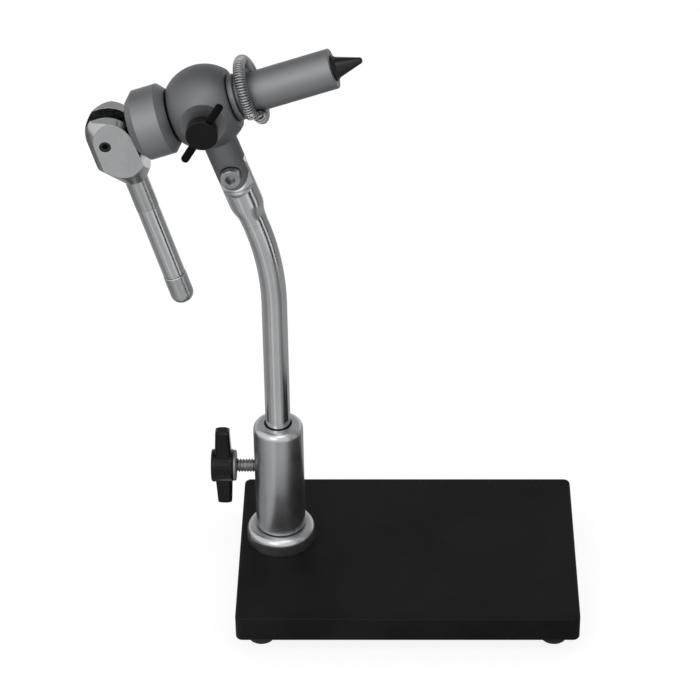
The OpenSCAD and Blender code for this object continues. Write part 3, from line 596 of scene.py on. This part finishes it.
@dataclass
class Barrel(SubAssembly):
    """The barrel with its collar and the ring of coil spring that holds thread, with sizes in millimetres.

    Attributes:
        wire_d: Diameter of the spring's wire.
        coil_d: Diameter over a coil.
        ring_r: Radius of the ring that the spring lies in.
        ring_lift: How far the ring hangs off the barrel's axis, away from the neck.
        coils: Number of coils.
        wrap: Degrees that the spring goes round.
        lap_at: Degrees that its ends lie from the underside, less than 0 on the near side.
        ring_step: How far along the barrel one end lies from the other.
        ring_z: Place of the ring's top along the barrel.
        closed_turns: Coils that narrow at each end.
        hook_l: Length of the wire's hook at each end.
        hook_bow: How far the hook bows out.
        hook_flick: How far its tip stands off.
        steps: Points along one coil.
        sides: Sides of the wire.
    """

    wire_d: float = 0.7
    coil_d: float = 5.15
    ring_r: float = 12.4
    ring_lift: float = 1.35
    coils: int = 78
    wrap: float = 358.0
    lap_at: float = -57.0
    ring_step: float = 3.0
    ring_z: float = 20.1
    closed_turns: float = 1.6
    hook_l: float = 2.2
    hook_bow: float = 0.8
    hook_flick: float = 1.4
    steps: int = 16
    sides: int = 8
    hook_shares: ClassVar[tuple[float, ...]] = (0.15, 0.3, 0.45, 0.6, 0.75, 0.9, 1.0)
    end_share: ClassVar[float] = 0.05
    finishes: ClassVar[dict[str, Finish]] = {
        "barrel": ANODISED, "front_collar": ANODISED, "retaining_ring": BLACK_OXIDE, "material_spring": SPRING_WIRE}

    def out(self, turn: float) -> Vector:
        """Gives the direction away from the barrel at a turn in degrees, in the head's frame."""
        return Vector((-math.cos(math.radians(turn)), -math.sin(math.radians(turn)), 0.0))

    def turn(self, share: float) -> float:
        """Gives the degrees round the barrel at a share of the wire's length, from the top of the ring."""
        return self.wrap * (share - 0.5) + self.lap_at

    def coil_point(self, share: float) -> Vector:
        """Gives a point of the wire's middle line.

        Args:
            share: Share of the wire's length, from its start.

        Returns:
            The point in the head's frame.
        """
        turn = self.turn(share)
        curl = math.tau * self.coils * share
        along = self.ring_z - self.ring_step * turn / 360
        middle = self.out(turn) * self.ring_r + Vector((-self.ring_lift, 0.0, along))
        closing = min(1.0, (self.end_share + self.coils * min(share, 1.0 - share)) / self.closed_turns)
        reach = (self.coil_d - self.wire_d) / 2 * math.sqrt(closing)
        return middle + self.out(turn) * reach * math.cos(curl) + Vector((0.0, 0.0, reach * math.sin(curl)))

    def tail(self, share: float, way: float) -> list[Vector]:
        """Turns the wire's end out of the coil, as the two ends are where they hook together.

        Args:
            share: Where the coil ends, as a share of the wire's length.
            way: 1 at the wire's end and -1 at its start.

        Returns:
            Points from the coil to the cut end, in the head's frame.
        """
        start = self.coil_point(share)
        along = Vector((0.0, 0.0, way))
        away = self.out(self.turn(share))
        return [start + along * self.hook_l * t
                + away * (self.hook_bow * math.sin(math.pi * t) + self.hook_flick * t ** 4)
                for t in self.hook_shares]

    def mesh(self) -> None:
        """Winds the spring and hooks its ends."""
        axes = head_axes()
        count = self.coils * self.steps
        line = [self.coil_point(i / count) for i in range(count + 1)]
        line = self.tail(0.0, -1.0)[::-1] + line + self.tail(1.0, 1.0)
        points, faces = wire([axes.point(*point) for point in line], self.wire_d / 2 * MM, self.sides)
        piece = piece_of("spring_wire", points, faces, SPRING_WIRE)
        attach(piece, "barrel")
        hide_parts("material_spring")
        LOG.info("material spring of %d coils", self.coils)


@dataclass
class Jaws(SubAssembly):
    """The two jaws, and the hub, drawbar and spring that work them, with sizes in millimetres.

    Attributes:
        wire_d: Diameter of the return spring's wire.
        coil_r: Radius of its coils, to the middle of the wire.
        coils: Number of coils.
        coil_from: Rear end of the spring along the barrel.
        coil_to: Its front end.
        steps: Points along one coil.
        sides: Sides of the wire.
    """

    wire_d: float = 0.8
    coil_r: float = 4.01
    coils: int = 9
    coil_from: float = 4.6
    coil_to: float = 19.18
    steps: int = 32
    sides: int = 12
    finishes: ClassVar[dict[str, Finish]] = {
        "near_jaw": JAW_STEEL, "far_jaw": JAW_STEEL, "collet_hub": BLACK_OXIDE, "drawbar": PHOSPHATED,
        "return_spring": SPRING_WIRE}

    def mesh(self) -> None:
        """Winds the return spring inside the barrel."""
        axes = head_axes()
        count = self.coils * self.steps
        line: list[Vector] = []
        for i in range(count + 1):
            curl = math.tau * i / self.steps
            line.append(axes.point(self.coil_r * math.cos(curl), self.coil_r * math.sin(curl),
                                   self.coil_from + (self.coil_to - self.coil_from) * i / count))
        points, faces = wire(line, self.wire_d / 2 * MM, self.sides)
        piece = piece_of("return_wire", points, faces, SPRING_WIRE)
        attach(piece, "drawbar")
        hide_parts("return_spring")
        LOG.info("return spring of %d coils", self.coils)


@dataclass
class CamLever(SubAssembly):
    """The drum that sets the grip, and the cam lever that closes the jaws."""

    finishes: ClassVar[dict[str, Finish]] = {
        "cam_washer": TURNED_STEEL, "adjusting_drum": ANODISED, "cam_head": SATIN_STEEL, "cam_pin": BLACK_OXIDE,
        "lever_rod": POLISHED_STEEL, "lever_tip": SATIN_STEEL}


class Hang(Enum):
    """Where a cloth hangs: on stands round the set, or laid on the floor round the post."""

    STANDS = "stands"
    FLOOR = "floor"


@dataclass(frozen=True)
class Cloth:
    """A plain cloth beside the set, seen by reflections alone, that draws a streak in polished metal.

    Attributes:
        name: Name of the cloth.
        azimuths: From and to, in degrees round from the camera's side to the right.
        reach: Elevations in degrees for one on stands, or distances from the post in metres for one on the floor.
        tone: Its colour.
        hang: Where it hangs.
        distance: Metres from the vise to one on stands.
        parts: Number of strips that it is made of.
    """

    name: str
    azimuths: tuple[float, float]
    reach: tuple[float, float]
    tone: str
    hang: Hang = Hang.STANDS
    distance: float = 1.6
    parts: int = 12

    def point(self, azimuth: float, reach: float, aim: Vector) -> Vector:
        """Gives a point of the cloth.

        Args:
            azimuth: Degrees round from the camera's side to the right.
            reach: Elevation in degrees, or distance from the post in metres.
            aim: The point that a cloth on stands goes round.

        Returns:
            The point in metres.
        """
        if self.hang is Hang.STANDS:
            return aim + direction(azimuth, reach) * self.distance
        foot = Vector(JOINTS["stem_swivel"]["pos_m"])
        return Vector((foot.x, foot.y, CLOTH_LIFT)) + direction(azimuth, 0.0) * reach

    def build(self, aim: Vector) -> None:
        """Hangs or lays the cloth.

        Args:
            aim: The point that a cloth on stands goes round.
        """
        (left, right), (low, high) = self.azimuths, self.reach
        points = [self.point(left + (right - left) * i / self.parts, low + (high - low) * k / self.parts, aim)
                  for i in range(self.parts + 1) for k in range(self.parts + 1)]
        row = self.parts + 1
        faces = [(i * row + k, (i + 1) * row + k, (i + 1) * row + k + 1, i * row + k + 1)
                 for i in range(self.parts) for k in range(self.parts)]
        mesh = bpy.data.meshes.new(self.name)
        mesh.from_pydata([tuple(point) for point in points], [], faces)
        material = bpy.data.materials.new(self.name + "_tone")
        tree = Tree(material)
        glow = tree.add("ShaderNodeEmission", {"Color": linear(self.tone), "Strength": 1.0})
        tree.add("ShaderNodeOutputMaterial", {"Surface": glow.outputs[0]})
        mesh.materials.append(material)
        cloth = bpy.data.objects.new(self.name, mesh)
        bpy.context.scene.collection.objects.link(cloth)
        cloth.visible_camera = False
        cloth.visible_diffuse = False
        cloth.visible_shadow = False


def direction(azimuth: float, elevation: float) -> Vector:
    """Gives the direction of an azimuth, from the camera's side and to the right, and an elevation."""
    a, e = math.radians(azimuth), math.radians(elevation)
    return Vector((math.sin(a) * math.cos(e), -math.cos(a) * math.cos(e), math.sin(e)))


@dataclass(frozen=True)
class SoftBox:
    """A soft lamp that faces the vise.

    Attributes:
        name: Name of the lamp.
        azimuth: Degrees round from the camera's side, to the right.
        elevation: Degrees above the floor.
        distance: Metres from the vise.
        size: Width and height in metres.
        power: Watts.
    """

    name: str
    azimuth: float
    elevation: float
    distance: float
    size: tuple[float, float]
    power: float

    def build(self, aim: Vector) -> None:
        """Hangs the lamp.

        Args:
            aim: The point that it faces.
        """
        light = bpy.data.lights.new(self.name, "AREA")
        light.shape = "RECTANGLE"
        light.size, light.size_y = self.size
        light.energy = self.power
        lamp = bpy.data.objects.new(self.name, light)
        bpy.context.scene.collection.objects.link(lamp)
        lamp.location = aim + direction(self.azimuth, self.elevation) * self.distance
        lamp.rotation_euler = (lamp.location - aim).to_track_quat("Z", "Y").to_euler()


@dataclass
class Studio:
    """Floor, world, lamps, cloths and camera, with sizes in metres.

    Attributes:
        floor_size: Side of the square floor.
        floor_glow: Strength of the white that the floor shows to the camera and to reflections.
        floor_share: Share of that white in it; the rest is lit paper, which takes the vise's shadow.
        sky_light: Strength of the world where it lights the vise.
        aim: The point that lamps face and that cloths on stands go round.
        camera_at: Place of the camera.
        camera_pitch: Degrees that it looks down.
        lens: Its focal length in millimetres, on a sensor of sensor_mm.
        sensor_mm: Width of the sensor in millimetres.
        shift: Sideways shift of its frame.
        lamps: The soft lamps.
        cloths: The cloths that only reflections see. The tones of those on the floor go back to greys read
            from the photo's stem, since merged and rounded. They may be replaced by any others.
    """

    floor_size: float = 12.0
    floor_glow: float = 1.06
    floor_share: float = 0.82
    sky_light: float = 0.78
    aim: tuple[float, float, float] = (0.0, 0.0, 0.15)
    camera_at: tuple[float, float, float] = (0.02543, -0.99143, 0.82163)
    camera_pitch: float = 34.98
    lens: float = 143.85
    sensor_mm: float = 36.0
    shift: float = -0.0726
    lamps: tuple[SoftBox, ...] = (
        SoftBox("front_left_box", -25, 35, 1.2, (0.5, 0.7), 2.0),
        SoftBox("top_box", 20, 70, 1.3, (0.6, 0.6), 2.0),
    )
    cloths: tuple[Cloth, ...] = (
        Cloth("back_cloth", (118, 242), (12, 52), "#b6b6b6"),
        Cloth("top_cloth", (118, 242), (52, 90), "#7c7c7c"),
        Cloth("right_dark", (54, 69), (-6, 75), "#343434"),
        Cloth("right_thin", (82, 92), (-6, 75), "#2a2a2a"),
        Cloth("right_far", (92, 118), (-6, 75), "#9a9a9a"),
        Cloth("left_cloth", (-138, -112), (8, 60), "#4c4c4c"),
        Cloth("floor_left", (-104, -60), (0.03, 1.4), "#989898", Hang.FLOOR),
        Cloth("floor_front_left", (-60, -29), (0.03, 1.4), "#bcbcbc", Hang.FLOOR),
        Cloth("floor_pale_left", (-29, -15), (0.03, 1.4), "#e6e6e6", Hang.FLOOR),
        Cloth("floor_front", (-15, 16), (0.03, 1.4), "#c6c6c6", Hang.FLOOR),
        Cloth("floor_pale_right", (16, 34), (0.03, 1.4), "#d0d0d0", Hang.FLOOR),
        Cloth("floor_front_right", (34, 50), (0.03, 0.4), "#a8a8a8", Hang.FLOOR),
        Cloth("floor_right", (50, 72), (0.03, 0.4), "#888888", Hang.FLOOR),
        Cloth("floor_back_right", (72, 180), (0.03, 0.4), "#acacac", Hang.FLOOR),
        Cloth("floor_far_dark", (50, 69), (0.4, 2.2), "#3c3c3c", Hang.FLOOR),
        Cloth("floor_far_thin", (82, 92), (0.4, 2.2), "#343434", Hang.FLOOR),
        Cloth("floor_far_right", (92, 150), (0.4, 2.2), "#9a9a9a", Hang.FLOOR),
        Cloth("floor_back_dark", (-160, -104), (0.03, 0.12), "#2c2c2c", Hang.FLOOR),
        Cloth("floor_back_left", (-160, -104), (0.12, 0.3), "#acacac", Hang.FLOOR),
        Cloth("floor_far_left", (-172, -140), (0.3, 1.2), "#505050", Hang.FLOOR),
        Cloth("floor_far_pale", (-140, -104), (0.3, 1.2), "#6c6c6c", Hang.FLOOR),
    )

    def seen_plain(self, tree: Tree) -> bpy.types.NodeSocket:
        """Adds the nodes that tell a ray of the camera, of gloss or of glass from one that lights.

        Args:
            tree: The tree to add them to.

        Returns:
            1 for a ray that sees plain white, else 0.
        """
        ray = tree.add("ShaderNodeLightPath")
        seen = tree.add("ShaderNodeMath", {0: ray.outputs["Is Camera Ray"], 1: ray.outputs["Is Glossy Ray"]},
                        operation="MAXIMUM")
        return tree.add("ShaderNodeMath", {0: seen.outputs[0], 1: ray.outputs["Is Transmission Ray"]},
                        operation="MAXIMUM").outputs[0]

    def floor(self) -> None:
        """Lays a white floor that keeps the vise's shadow."""
        mesh = bpy.data.meshes.new("floor")
        s = self.floor_size / 2
        mesh.from_pydata([(-s, -s, 0), (s, -s, 0), (s, s, 0), (-s, s, 0)], [], [(0, 1, 2, 3)])
        material = bpy.data.materials.new("white_floor")
        tree = Tree(material)
        paper = tree.add("ShaderNodeBsdfDiffuse", {"Color": linear("#f2f2f2")})
        white = tree.add("ShaderNodeEmission", {"Color": linear("#ffffff"), "Strength": self.floor_glow})
        part = tree.add("ShaderNodeMath", {0: self.seen_plain(tree), 1: self.floor_share}, operation="MULTIPLY")
        mix = tree.add("ShaderNodeMixShader", {0: part.outputs[0], 1: paper.outputs[0], 2: white.outputs[0]})
        tree.add("ShaderNodeOutputMaterial", {"Surface": mix.outputs[0]})
        mesh.materials.append(material)
        floor = bpy.data.objects.new("floor", mesh)
        bpy.context.scene.collection.objects.link(floor)

    def world(self) -> None:
        """Lights the set evenly and shows white to the camera and to reflections."""
        world = bpy.data.worlds.new("studio")
        bpy.context.scene.world = world
        tree = Tree(world)
        strength = tree.add("ShaderNodeMapRange", {"Value": self.seen_plain(tree), "To Min": self.sky_light,
                                                   "To Max": 1.0})
        sky = tree.add("ShaderNodeBackground", {"Color": linear("#ffffff"), "Strength": strength.outputs[0]})
        tree.add("ShaderNodeOutputWorld", {"Surface": sky.outputs[0]})

    def camera(self) -> None:
        """Stands the camera at the photograph's place."""
        lens = bpy.data.cameras.new("camera")
        lens.lens = self.lens
        lens.sensor_width = self.sensor_mm
        lens.shift_x = self.shift
        camera = bpy.data.objects.new("camera", lens)
        bpy.context.scene.collection.objects.link(camera)
        camera.location = self.camera_at
        camera.rotation_euler = (math.radians(90 - self.camera_pitch), 0.0, 0.0)
        bpy.context.scene.camera = camera

    def build(self) -> None:
        """Sets up the whole studio."""
        self.floor()
        self.world()
        for part in (*self.lamps, *self.cloths):
            part.build(Vector(self.aim))
        self.camera()
        bpy.context.scene.view_settings.view_transform = "Standard"


def main() -> None:
    """Builds the sub-assemblies in order, then the studio."""
    logging.basicConfig(level=logging.INFO, format="%(name)s: %(message)s")
    for part in (Base(), Post(), PostClamp(), Stem(), Head(), LockScrew(), Barrel(), Jaws(), CamLever()):
        part.build()
    Studio().build()


if __name__ == "__main__":
    main()
